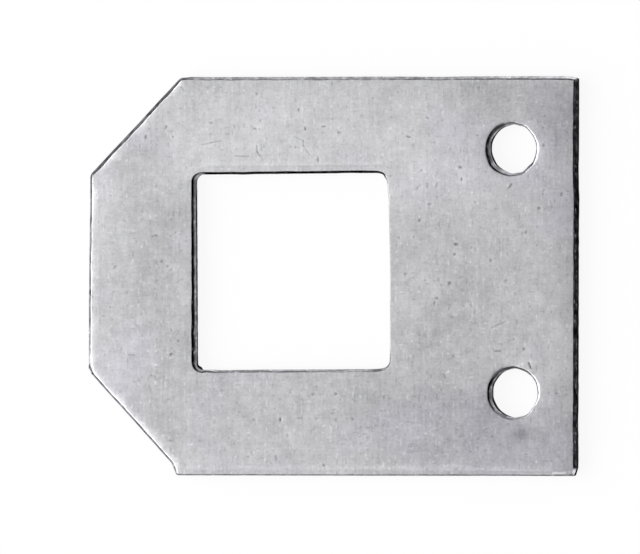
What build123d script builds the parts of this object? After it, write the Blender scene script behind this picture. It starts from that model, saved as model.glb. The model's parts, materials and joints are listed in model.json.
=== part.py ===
from build123d import *
import os

# Mirror plate: one blanked and pierced piece of steel sheet, lying on its back.
# All sizes are in millimetres. X runs along the plate, Y up its face, Z out of the visible face.

# The blank
plate_length = 50.05
plate_height = 40.0
sheet = 1.5

# The two cropped corners at the left end. Each is set by itself: the upper one was cropped a little shallower.
upper_crop_along = 9.36
upper_crop_down = 9.78
lower_crop_along = 9.69
lower_crop_up = 10.55

# The left end was sheared slightly out of square: its lower end stands this much further out.
left_end_lean = 0.13

# The lower crop ran out before the bottom edge, which left a short steeper run at its end.
run_out_height = 1.2
run_out_along = 0.5

# Roundings of the blank's corners, seen from the front
left_corner_round = 0.8
right_corner_round = 0.5
run_out_round = 0.35

# The pierced group: a square window and two screw holes, set out from the ends of the blank
window_length = 19.89
window_height = 19.65
window_corner_round = 0.7
window_from_left = 11.02
hole_diameter = 4.8
hole_spacing = 24.4
hole_from_right = 6.46

# The press pierced the group slightly high and slightly turned on the blank.
group_lift = 0.49
group_turn = 0.42

# The two hole punches sit this much lower in the tool than the middle of the window's punch.
hole_drop = 0.12

# The edge that a press leaves all round: a rolled front edge, a straight land,
# and a rough break that falls back towards the rear face.
edge_roll = 0.32
break_height = 0.6
break_fall_back = 0.04


def outline_face():
    """The blank's outline at the land, with its corners rounded."""
    left = -plate_length / 2
    right = plate_length / 2
    top = plate_height / 2
    bottom = -plate_height / 2
    upper_left = (left + left_end_lean, top - upper_crop_down)
    upper_crop_end = (left + left_end_lean + upper_crop_along, top)
    upper_right = (right, top)
    lower_right = (right, bottom)
    lower_crop_corner = Vector(left + lower_crop_along, bottom)
    lower_left = Vector(left, bottom + lower_crop_up)
    crop_direction = (lower_left - lower_crop_corner).normalized()
    run_out_start = lower_crop_corner + crop_direction * (run_out_height / crop_direction.Y)
    run_out_end = Vector(run_out_start.X + run_out_along, bottom)
    corners = [upper_left, upper_crop_end, upper_right, lower_right, run_out_end, run_out_start, lower_left]
    face = make_face(Polyline(*corners, close=True))

    def corner(point):
        return face.vertices().sort_by_distance(Vector(*point))[0]

    face = fillet([corner(upper_left), corner(upper_crop_end), corner(lower_left)], left_corner_round)
    face = fillet([corner(upper_right), corner(lower_right)], right_corner_round)
    return fillet([corner(run_out_end), corner(run_out_start)], run_out_round)


# The pierced openings are placed as one group, because one stroke of the press makes them together.
group_place = Location((0, group_lift, 0), (0, 0, group_turn))
window_x = -plate_length / 2 + window_from_left + window_length / 2
hole_x = plate_length / 2 - hole_from_right

window = Pos(window_x, 0) * RectangleRounded(window_length, window_height, window_corner_round)
hole_places = [Pos(hole_x, side * hole_spacing / 2 - hole_drop) for side in (1, -1)]
holes = [place * Circle(hole_diameter / 2) for place in hole_places]
pierced = group_place * (window + holes)

# The sheet, cut square through
plate = extrude(outline_face() - pierced, sheet)

# The rolled front edge goes round the blank, the window and both holes.
front = plate.faces().sort_by(Axis.Z)[-1]
plate = fillet(front.edges(), edge_roll)

# The break takes the rear part of every cut edge back a little.
rear = plate.faces().sort_by(Axis.Z)[0]
plate = chamfer(rear.edges(), length=break_fall_back, length2=break_height, reference=rear)

plate.label = "plate"
os.makedirs("parts", exist_ok=True)
export_step(plate, "parts/plate.step")

bounds = plate.bounding_box()
print("bounds", bounds.min, bounds.max, "volume", round(plate.volume, 2))
for place in hole_places:
    centre = (group_place * place).position
    print("hole centre", round(centre.X, 3), round(centre.Y, 3))
centre = (group_place * Pos(window_x, 0)).position
print("window centre", round(centre.X, 3), round(centre.Y, 3))
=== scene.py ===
# %% [markdown]
# A pressed steel mirror plate
#
# This lesson dresses one small piece of pressed sheet steel. The plate is 50 by 40 mm, so nearly all of
# its looks come from two things: the edge that the press leaves, and the dull, marked skin of the sheet.
# The model of its exact size is loaded first, and what is made here keeps to that size.

# %% Load the frame
import bmesh
import bpy
import json
import math
import numpy as np
from mathutils import Matrix, Vector, geometry, kdtree, noise


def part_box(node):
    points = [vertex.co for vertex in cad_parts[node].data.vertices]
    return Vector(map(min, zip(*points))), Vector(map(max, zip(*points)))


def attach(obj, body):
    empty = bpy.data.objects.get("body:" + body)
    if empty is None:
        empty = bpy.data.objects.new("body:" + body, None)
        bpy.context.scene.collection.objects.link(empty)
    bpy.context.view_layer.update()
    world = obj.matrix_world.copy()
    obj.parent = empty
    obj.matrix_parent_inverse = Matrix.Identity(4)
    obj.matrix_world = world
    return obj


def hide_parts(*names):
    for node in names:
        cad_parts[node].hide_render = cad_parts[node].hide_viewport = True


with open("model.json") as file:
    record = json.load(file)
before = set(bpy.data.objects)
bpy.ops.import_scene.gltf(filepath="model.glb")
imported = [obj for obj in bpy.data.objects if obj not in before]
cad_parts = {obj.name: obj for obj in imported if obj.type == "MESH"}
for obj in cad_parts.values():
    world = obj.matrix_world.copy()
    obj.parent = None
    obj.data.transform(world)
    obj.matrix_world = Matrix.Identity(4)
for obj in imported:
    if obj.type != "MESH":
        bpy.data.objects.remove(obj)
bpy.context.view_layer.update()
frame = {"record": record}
MM = 0.001
low_corner, high_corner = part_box("plate")
print("plate box in mm:", [round(v / MM, 3) for v in (high_corner - low_corner)])

# %% [markdown]
# The sizes of this plate
#
# The overall sizes come from the loaded plate, and the screw holes from its record. The rest of the
# outline is repeated here as named sizes in millimetres, because the edge has to be followed all round.
# The two right-hand corners were clipped by the shear, so each has a short slope instead of a rounding.

# %% Sizes in millimetres
sheet = (high_corner.z - low_corner.z) / MM
upper_crop_along = 9.36
upper_crop_down = 9.78
lower_crop_along = 9.69
lower_crop_up = 10.55
left_end_lean = 0.13
run_out_height = 1.2
run_out_along = 0.5
left_corner_round = 0.8
right_corner_round = 0.5
run_out_round = 0.35
upper_right_cut_along = 0.8
upper_right_cut_down = 0.2
lower_right_cut_along = 0.29
lower_right_cut_up = 0.85
cut_corner_round = 0.14
window_length = 19.89
window_height = 19.65
window_corner_round = 0.7
window_from_left = 11.02
group_lift = 0.49
group_turn = math.radians(0.42)
left = low_corner.x / MM
right = high_corner.x / MM
top = high_corner.y / MM
bottom = low_corner.y / MM

screw_holes = []
for mount in frame["record"]["mounts"]:
    if mount["kind"] == "bore":
        centre = Vector(mount["pos_m"][:2]) / MM
        screw_holes.append((centre, mount["dims"]["r_mm"]))
print("screw holes:", screw_holes)

# %% [markdown]
# Corners as true arcs
#
# An outline is a closed run of corners, each with its own rounding, and every corner is replaced by the
# points of a true arc. A bevel modifier could round the corners too, but the edge section below has to
# know which way the steel lies at every step round the outline, so the outline is kept as plain points.

# %% Rounded outlines
ARC_STEPS = 24
CIRCLE_STEPS = 360


def rounded_corner(before, corner, after, radius):
    """Points of the arc that rounds one corner."""
    back = (before - corner).normalized()
    ahead = (after - corner).normalized()
    half_angle = back.angle(ahead) / 2
    middle = (back + ahead).normalized()
    centre = corner + middle * (radius / math.sin(half_angle))
    first = corner + back * (radius / math.tan(half_angle)) - centre
    last = corner + ahead * (radius / math.tan(half_angle)) - centre
    sweep = first.angle_signed(last)
    points = []
    for k in range(ARC_STEPS + 1):
        turn = -sweep * k / ARC_STEPS
        points.append(centre + Vector((first.x * math.cos(turn) - first.y * math.sin(turn),
                                       first.x * math.sin(turn) + first.y * math.cos(turn))))
    return points


def rounded_outline(corners, radii):
    """All the points of a closed outline whose corners are rounded."""
    points = []
    for k, corner in enumerate(corners):
        after = corners[(k + 1) % len(corners)]
        points += rounded_corner(corners[k - 1], corner, after, radii[k])
    return np.array([tuple(p) for p in points])


def circle(centre, radius):
    """Points of a circle, closely enough spaced to count as round."""
    turns = np.arange(CIRCLE_STEPS) * math.tau / CIRCLE_STEPS
    return np.stack([centre.x + radius * np.cos(turns), centre.y + radius * np.sin(turns)], axis=1)


print("each corner is drawn in", ARC_STEPS, "steps and each hole in", CIRCLE_STEPS)

# %% [markdown]
# Walking round an outline
#
# A punch wears and a sheet tears, so no real cut follows its outline exactly. Each place where a cut
# strays is one row in a list. A second function walks round the outline in small equal steps, moves the
# steps that lie near such a place, and keeps for each step the direction that points out of the steel.
# Points could be pushed by hand in the viewport instead, but a row can be read, moved and changed again.

# %% Evenly spaced steps round an edge
STEP = 0.13
SAME_POINT = 1e-6

# Where a cut edge strays from its outline: edge, x, y, reach, and how far out of the steel, all in mm
NUDGES = [
    ("blank", -25.0, 1.8, 2.5, 0.035), ("blank", -25.0, -3.0, 3.0, 0.035),
    ("blank", 16.0, -20.0, 6.0, -0.015), ("blank", -17.2, 18.2, 3.2, 0.050),
    ("blank", -22.8, 12.4, 3.0, 0.030), ("blank", -23.3, -11.3, 2.2, 0.035),
    ("blank", 10.8, 20.0, 2.2, -0.040), ("blank", 25.0, 10.6, 1.5, -0.035),
    ("blank", 25.0, 7.2, 1.3, 0.040), ("blank", 25.0, -14.6, 1.3, -0.035),
    ("blank", -15.2, 19.95, 0.45, -0.070), ("window", 5.70, 10.05, 0.66, 0.34),
    ("window", 5.95, 8.7, 0.80, 0.09), ("window", 5.9, -2.5, 4.5, -0.035),
    ("window", 5.9, 1.0, 4.2, -0.095), ("window", 5.9, -6.2, 2.4, -0.045),
    ("window", 5.7, -9.3, 0.70, 0.15), ("window", -12.6, -9.4, 0.60, 0.07),
    ("window", -10.8, -9.4, 0.60, -0.02), ("window", -7.0, -9.35, 0.80, 0.02),
    ("window", 1.5, 10.3, 1.0, -0.03), ("window", -9.2, 10.3, 0.80, 0.04),
    ("upper_hole", 18.1, 10.3, 0.45, -0.04), ("upper_hole", 19.35, 10.45, 0.32, -0.06),
    ("upper_hole", 20.1, 10.95, 0.42, 0.08), ("upper_hole", 19.68, 14.78, 0.50, -0.10),
    ("upper_hole", 18.48, 15.1, 0.45, -0.08), ("upper_hole", 17.28, 14.78, 0.45, -0.04),
    ("upper_hole", 20.8, 12.1, 0.60, 0.06), ("upper_hole", 16.64, 11.16, 0.45, -0.05),
    ("lower_hole", 17.45, -9.62, 0.50, -0.04), ("lower_hole", 18.65, -9.29, 0.50, -0.06),
    ("lower_hole", 21.05, -11.4, 0.45, 0.03), ("lower_hole", 16.26, -11.69, 0.50, 0.05),
    ("lower_hole", 16.8, -10.15, 0.40, 0.02), ("lower_hole", 19.86, -13.77, 0.55, -0.11),
    ("lower_hole", 18.6, -14.1, 0.50, -0.06),
]


def directions_out(points, steel_inside):
    """The direction out of the steel at each of the evenly spaced points of a closed outline."""
    tangent = np.roll(points, -1, axis=0) - np.roll(points, 1, axis=0)
    tangent /= np.hypot(*tangent.T)[:, None]
    outward = np.stack([tangent[:, 1], -tangent[:, 0]], axis=1)
    area = 0.5 * np.sum(points[:, 0] * np.roll(points[:, 1], -1) - np.roll(points[:, 0], -1) * points[:, 1])
    return outward if (area > 0) == steel_inside else -outward


def nearness(points, x, y, reach, power=2):
    """How near each point of an edge lies to one place: 1 there, fading to 0 past the reach."""
    away = np.hypot(points[:, 0] - x, points[:, 1] - y)
    return np.exp(-(away / reach) ** power)


def walk(name, points, steel_inside):
    """Evenly spaced points round a closed outline, and the direction out of the steel at each."""
    closed = np.vstack([points, points[:1]])
    runs = np.hypot(*np.diff(closed, axis=0).T)
    keep = np.append(runs > SAME_POINT, True)
    closed = closed[keep]
    along = np.append(0, np.cumsum(np.hypot(*np.diff(closed, axis=0).T)))
    count = int(round(along[-1] / STEP))
    stations = np.arange(count) * along[-1] / count
    even = np.stack([np.interp(stations, along, closed[:, axis]) for axis in (0, 1)], axis=1)
    outward = directions_out(even, steel_inside)
    for edge_name, x, y, reach, stray in NUDGES:
        if edge_name == name:
            even = even + outward * (stray * nearness(even, x, y, reach))[:, None]
    outward = directions_out(even, steel_inside)
    return {"points": even, "outward": outward, "stations": stations, "length": along[-1]}


print("the cut edges stray at", len(NUDGES), "places")

# %% [markdown]
# The four cut edges
#
# The blank's outside edge, the window and the two screw holes are cut by the same kind of punch, so all
# four are handled alike. The window and holes are pierced by one stroke, slightly high and slightly
# turned on the blank, as on the real plate.

# %% The outline, the window and the holes
lower_crop_corner = Vector((left + lower_crop_along, bottom))
lower_left = Vector((left, bottom + lower_crop_up))
crop_direction = (lower_left - lower_crop_corner).normalized()
run_out_start = lower_crop_corner + crop_direction * (run_out_height / crop_direction.y)
run_out_end = Vector((run_out_start.x + run_out_along, bottom))
blank_corners = [
    Vector((left + left_end_lean, top - upper_crop_down)),
    Vector((left + left_end_lean + upper_crop_along, top)),
    Vector((right - upper_right_cut_along, top)),
    Vector((right, top - upper_right_cut_down)),
    Vector((right, bottom + lower_right_cut_up)),
    Vector((right - lower_right_cut_along, bottom)),
    run_out_end,
    run_out_start,
    lower_left,
]
blank_rounds = [left_corner_round, left_corner_round, right_corner_round, cut_corner_round,
                right_corner_round, cut_corner_round, run_out_round, run_out_round, left_corner_round]


def pierced_place(x, y):
    """Where a point of the pierced group lands on the blank."""
    return Vector((x * math.cos(group_turn) - y * math.sin(group_turn),
                   x * math.sin(group_turn) + y * math.cos(group_turn) + group_lift))


window_x = left + window_from_left + window_length / 2
window_corners = []
for across, up in ((-1, 1), (1, 1), (1, -1), (-1, -1)):
    window_corners.append(pierced_place(window_x + across * window_length / 2, up * window_height / 2))


edges = {
    "blank": walk("blank", rounded_outline(blank_corners, blank_rounds), True),
    "window": walk("window", rounded_outline(window_corners, [window_corner_round] * 4), False),
    "upper_hole": walk("upper_hole", circle(*screw_holes[0]), False),
    "lower_hole": walk("lower_hole", circle(*screw_holes[1]), False),
}
for name, edge in edges.items():
    print(name, "length", round(edge["length"], 2), "mm in", len(edge["points"]), "steps")

# %% [markdown]
# What the punch did to the edge
#
# Sheet steel doesn't cut like paper. The punch first drags the face down, which bends it over: gently at
# first, then in a steep ramp that the punch has rubbed. Then it shears a short smooth land. Then the rest
# cracks off and leaves a rough break, with a thin burr at the rear. The bend isn't even: it is wide where
# the sheet was held loosely and narrow where it was clamped. So each width is a list that goes round the
# compass of the side that the edge faces: right first, then up, left, down and back to right. Nine values
# stand 45 degrees apart, and the holes' thirteen 30 degrees. One bevel for all sides would be quicker,
# but then all the rims would look alike.

# %% How wide each part of the edge is, in millimetres, with slopes in degrees
RAMP_SLOPE = math.radians(53)
BURR_HEIGHT = 0.025
BEND_WIDTH = {
    "blank": [0.02, 0.03, 0.04, 0.25, 0.20, 0.25, 0.06, 0.04, 0.02],
    "window": [0.02, 0.03, 0.04, 0.04, 0.03, 0.04, 0.04, 0.03, 0.02],
    "upper_hole": [0.05, 0.08, 0.08, 0.08, 0.15, 0.22, 0.22, 0.18, 0.10, 0.06, 0.18, 0.08, 0.05],
    "lower_hole": [0.08, 0.10, 0.08, 0.08, 0.05, 0.08, 0.31, 0.22, 0.10, 0.06, 0.26, 0.16, 0.09],
}
BEND_SLOPE = {
    "blank": [18, 14, 12, 1, 1, 2, 8, 12, 18],
    "window": [14, 12, 12, 12, 12, 12, 12, 12, 14],
    "upper_hole": [16, 16, 12, 12, 17, 17, 22, 20, 10, 12, 15, 15, 16],
    "lower_hole": [12, 10, 10, 12, 6, 8, 22, 9, 8, 10, 13, 14, 12],
}
RAMP_WIDTH = {
    "blank": [0.32, 0.30, 0.34, 0.41, 0.32, 0.27, 0.12, 0.20, 0.32],
    "window": [0.36, 0.30, 0.30, 0.18, 0.06, 0.22, 0.235, 0.30, 0.36],
    "upper_hole": [0.355, 0.37, 0.38, 0.30, 0.27, 0.22, 0.18, 0.17, 0.17, 0.22, 0.37, 0.385, 0.355],
    "lower_hole": [0.315, 0.33, 0.29, 0.25, 0.12, 0.12, 0.18, 0.22, 0.22, 0.20, 0.27, 0.29, 0.315],
}
CRACK_HEIGHT = {
    "blank": [0.85, 0.75, 0.60, 0.60, 0.60, 0.60, 0.60, 0.75, 0.85],
    "window": [0.42, 0.45, 0.50, 0.55, 0.55, 0.55, 0.50, 0.45, 0.42],
    "upper_hole": [0.52, 0.60, 0.45, 0.60, 0.60, 0.70, 0.70, 0.70, 0.60, 0.60, 0.60, 0.65, 0.52],
    "lower_hole": [0.55, 0.80, 0.80, 0.60, 0.60, 0.70, 0.70, 0.70, 0.60, 0.60, 0.60, 0.60, 0.55],
}
BREAK_LEAN = {
    "blank": [0.03] * 9,
    "window": [0.05, 0.03, 0.03, 0.03, 0.03, 0.03, 0.02, 0.03, 0.05],
    "upper_hole": [-0.01, -0.10, -0.04, 0.01, 0.02, 0.02, 0.02, 0.02, 0.03, 0.03, 0.02, 0.01, -0.01],
    "lower_hole": [0.01, -0.07, -0.02, 0.01, 0.02, 0.02, 0.02, 0.02, 0.03, 0.03, 0.03, 0.01, 0.01],
}
SAG_DEPTH = {
    "blank": [0.060, 0.030, 0.010, 0.026, 0.031, 0.036, 0.014, 0.030, 0.060],
    "window": [0.008, 0.008, 0.008, 0.008, 0.006, 0.008, 0.008, 0.008, 0.008],
    "upper_hole": [0.022] * 9,
    "lower_hole": [0.022] * 9,
}
SAG_REACH = {
    "blank": [1.10, 0.80, 0.30, 0.29, 0.36, 0.29, 0.60, 0.90, 1.10],
    "window": [0.35] * 9,
    "upper_hole": [0.40] * 9,
    "lower_hole": [0.40] * 9,
}

# Where the ramp is wider or narrower: edge, x, y, reach, and how much wider, all in mm
RAMP_CHANGES = [
    ("blank", 25.0, 14.5, 5.5, 0.07), ("window", -14.0, -6.5, 3.5, 0.05),
    ("window", -14.0, 8.0, 3.0, -0.02), ("window", 5.85, -8.3, 0.8, 0.05),
    ("window", -13.7, 10.15, 0.4, -0.04), ("blank", -15.1, 20.0, 0.7, -0.12),
]

# The punch left one burr standing into the window, at its lower left corner: x, y, reach and how far
BURR_X = -13.65
BURR_Y = -9.15
BURR_REACH = 0.24
BURR_STAND = 0.25
print("the ramp changes its width at", len(RAMP_CHANGES), "places")

# %% [markdown]
# From the lists to the steps
#
# The lists are read for every step of the walk and evened out over its neighbours. Smooth noise that
# closes on itself then makes each width wander along the edge, as a tear does. A noise texture could move
# the finished mesh instead, but it would blur the land and the break into each other.

# %% Reading the lists and letting the widths wander
FEWEST_WAVES = 4
WEAKEST_WAVE = 0.4
USUAL_WAVE = 0.8
# At a sharp corner the way inwards turns over so many steps each way, and never leans further than this
CORNER_SPREAD = 7
LEAST_LEAN = 0.72

# How uneven each part is along the edge: waves, each with its length in mm, its share and its seed
WAVES = {
    "bend": [(4.0, 0.17, 0), (0.9, 0.20, 10)],
    "ramp": [(2.2, 0.05, 20)],
    "sag": [(4.0, 0.25, 0)],
    "crack": [(2.5, 0.10, 30), (0.5, 0.06, 40)],
    "ramp_turn": [(1.6, 0.08, 70)],
}


def smoothed(values, reach):
    """A running mean round a closed edge, over so many steps each way."""
    return np.mean([np.roll(values, shift, axis=0) for shift in range(-reach, reach + 1)], axis=0)


def by_facing(table, edge, reach):
    """The evened value for each step of an edge, from the side that the edge faces there."""
    facing = np.degrees(np.arctan2(edge["outward"][:, 1], edge["outward"][:, 0])) % 360
    return smoothed(np.interp(facing, np.linspace(0, 360, len(table)), table), reach)


def wander(edge, wavelength, seed):
    """Smooth noise between about -1 and 1 that closes on itself round an edge."""
    draw = np.random.RandomState(seed)
    count = max(FEWEST_WAVES, int(round(edge["length"] / wavelength)))
    first_wave = max(1, count // 2)
    turns = edge["stations"] / edge["length"] * math.tau
    total = np.zeros(len(turns))
    for k in range(first_wave, count + 1):
        total += draw.uniform(WEAKEST_WAVE, 1) * np.sin(k * turns + draw.uniform(0, math.tau))
    usual_height = USUAL_WAVE * math.sqrt(count - first_wave + 1)
    return total / usual_height


def uneven(edge, part, seed):
    """A factor round 1 for each step of an edge, from the waves of one part."""
    factor = 1
    for wavelength, share, wave_seed in WAVES[part]:
        factor = factor + share * wander(edge, wavelength, seed + wave_seed)
    return factor


def gentle_inward(edge):
    """The way into the steel at each step, turning evenly through sharp corners so that rings never cross."""
    turned = smoothed(edge["outward"], CORNER_SPREAD)
    turned /= np.hypot(*turned.T)[:, None]
    lean_over = np.sum(turned * edge["outward"], axis=1)
    return -turned / np.maximum(lean_over, LEAST_LEAN)[:, None]


print("parts that wander:", ", ".join(WAVES))

# %% [markdown]
# The widths at every step
#
# Each edge now gets its bend, ramp, slope, sag, crack and lean, step by step. The sag is how far the face
# hangs down at the rim and how far in it begins. The lean is how far the break falls back.

# %% Bend, ramp, sag, crack and lean of each edge
EVEN_STEPS = 4
SAG_EVEN_STEPS = 9
LEAN_WAVE_MM = 1.2
LEAN_WAVE_DEPTH = 0.008
LEAN_SEED = 60

for seed, (name, edge) in enumerate(edges.items()):
    ramp = by_facing(RAMP_WIDTH[name], edge, EVEN_STEPS) * uneven(edge, "ramp", seed)
    for edge_name, x, y, reach, wider in RAMP_CHANGES:
        if edge_name == name:
            ramp = ramp + wider * nearness(edge["points"], x, y, reach)
    edge["bend"] = by_facing(BEND_WIDTH[name], edge, EVEN_STEPS) * uneven(edge, "bend", seed)
    edge["ramp"] = ramp
    edge["inward"] = gentle_inward(edge)
    edge["roll"] = edge["bend"] + edge["ramp"]
    edge["slope"] = np.tan(np.radians(by_facing(BEND_SLOPE[name], edge, EVEN_STEPS)))
    edge["sag"] = by_facing(SAG_DEPTH[name], edge, SAG_EVEN_STEPS) * uneven(edge, "sag", seed)
    edge["reach"] = by_facing(SAG_REACH[name], edge, SAG_EVEN_STEPS)
    edge["crack"] = by_facing(CRACK_HEIGHT[name], edge, EVEN_STEPS) * uneven(edge, "crack", seed)
    edge["lean"] = by_facing(BREAK_LEAN[name], edge, EVEN_STEPS)
    edge["lean"] += LEAN_WAVE_DEPTH * wander(edge, LEAN_WAVE_MM, seed + LEAN_SEED)
    if name == "window":
        edge["lean"] -= BURR_STAND * nearness(edge["points"], BURR_X, BURR_Y, BURR_REACH)
    print(name, "roll from", round(edge["roll"].min(), 2), "to", round(edge["roll"].max(), 2), "mm")

# %% [markdown]
# The nearest cut edge
#
# How low the face hangs depends on the cut edge that lies nearest. A search tree finds it among the two
# thousand steps in an instant, where measuring the way to each of them would take minutes.

# %% Finding the nearest edge
tree = kdtree.KDTree(sum(len(edge["points"]) for edge in edges.values()))
edge_of = []
for name, edge in edges.items():
    for k, point in enumerate(edge["points"]):
        tree.insert((point[0], point[1], 0), len(edge_of))
        edge_of.append((name, k))
tree.balance()
print("steps in the search tree:", len(edge_of))


def nearest_edge(x, y):
    """How far a point lies from the nearest cut edge, which step of which edge that is, and its side."""
    found, index, distance = tree.find((x, y, 0))
    name, k = edge_of[index]
    outward = edges[name]["outward"][k]
    in_steel = (x - found.x) * outward[0] + (y - found.y) * outward[1] < 0
    return distance, edges[name], k, in_steel


# %% [markdown]
# The face as a height map
#
# The front face isn't flat to the eye: it sags towards each cut edge, and the whole plate is bowed by a
# few hundredths of a millimetre. Such a face is a height over each point, so it is made as a fine
# triangle mesh whose points are lifted by one function. A displacement modifier would do the same, but
# here the steps stay in view.

# %% Heights of the front face
SLOW_WAVE_MM = 14.0
SLOW_WAVE_HEIGHT = 0.010
SLOW_WAVE_LAYER = 3.0
QUICK_WAVE_MM = 3.5
QUICK_WAVE_HEIGHT = 0.0012
QUICK_WAVE_LAYER = 9.0
SAG_BLEND_MM = 0.15


def sag_at(x, y):
    """How far the face hangs below its middle. Beside a corner both of its sides count."""
    nearest = nearest_edge(x, y)[0]
    total = 0.0
    weights = 0.0
    for found, index, distance in tree.find_range((x, y, 0), nearest + 2 * SAG_BLEND_MM):
        name, k = edge_of[index]
        edge = edges[name]
        weight = math.exp(-((distance - nearest) / SAG_BLEND_MM) ** 2)
        clear = max(0.0, nearest - edge["roll"][k])
        total += weight * edge["sag"][k] * math.exp(-clear / edge["reach"][k])
        weights += weight
    return total / weights


def bow_at(x, y):
    """The slow waves and the small ripple of the rolled sheet."""
    slow = noise.noise(Vector((x, y, SLOW_WAVE_LAYER)) / SLOW_WAVE_MM)
    quick = noise.noise(Vector((x, y, QUICK_WAVE_LAYER)) / QUICK_WAVE_MM)
    return SLOW_WAVE_HEIGHT * (slow - 1) + QUICK_WAVE_HEIGHT * (quick - 1)


def face_height(x, y):
    """Height of the front face over the rear plane."""
    return sheet + bow_at(x, y) - sag_at(x, y)


print("height at the plate's middle right, in mm:", round(face_height(10.0, 0.0), 4))

# %% [markdown]
# Pits, flecks and scratches
#
# Tumbling takes the burrs off a batch of plates, and it leaves small marks on the skin: round pits, short
# flecks and a few thin scratches. Handling adds one rubbed smudge. Each mark is a line, or a point, with
# a width, a depth and a darkness, because dirt stays in it. The marks that the eye finds are listed one
# by one. An image texture could hold them too, but then they would have no depth.
# Some rows along the rims are not marks but painted highlight and painted shade of the rims.

# %% The marks that are placed one by one, in millimetres


def mark(x, y, dx=0.0, dy=0.0, width=0.13, dark=0.45, depth=0.014):
    """One mark that starts at x, y and runs dx, dy. Without a run it is a round pit."""
    return {"x": x, "y": y, "dx": dx, "dy": dy, "width": width, "dark": dark, "depth": depth}


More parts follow.
